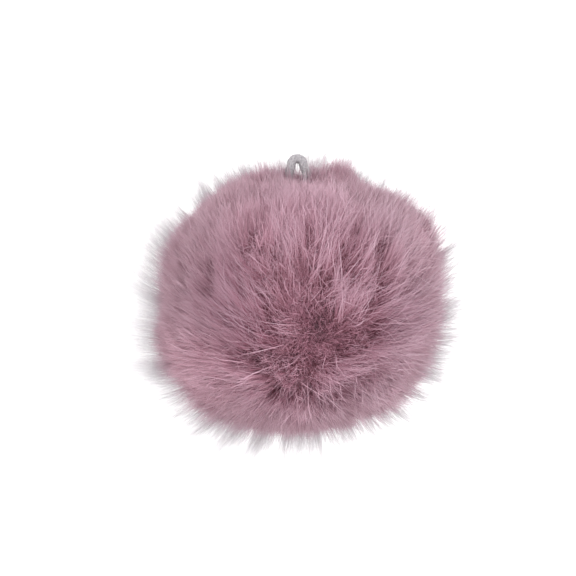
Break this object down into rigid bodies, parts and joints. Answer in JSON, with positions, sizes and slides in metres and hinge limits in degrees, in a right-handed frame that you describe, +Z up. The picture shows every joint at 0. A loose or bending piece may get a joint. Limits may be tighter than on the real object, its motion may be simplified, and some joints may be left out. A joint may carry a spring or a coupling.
{
  "type": "fur pom pom with an elastic hanging loop",
  "caption": "Round tufted pom pom of soft fur on a gathered skin, with a small loop of elastic cord to hang or button it by.",
  "frame": {"origin": "middle of the level foot, on the surface that the ball lies on", "axes": "+Z up from the surface; +Y is the way the hanging loop points; +X to the right as seen from above"},
  "size_m": [0.0895, 0.0824, 0.0695],
  "materials": {
    "fur": "long soft dyed fur, dusty mauve pink, matt with a pale sheen at the tips",
    "elastic_cord": "round braided elastic, pale grey"
  },
  "bodies": {
    "root": {"fur_ball": "fur", "hanging_loop": "elastic_cord"}
  },
  "joints": []
}
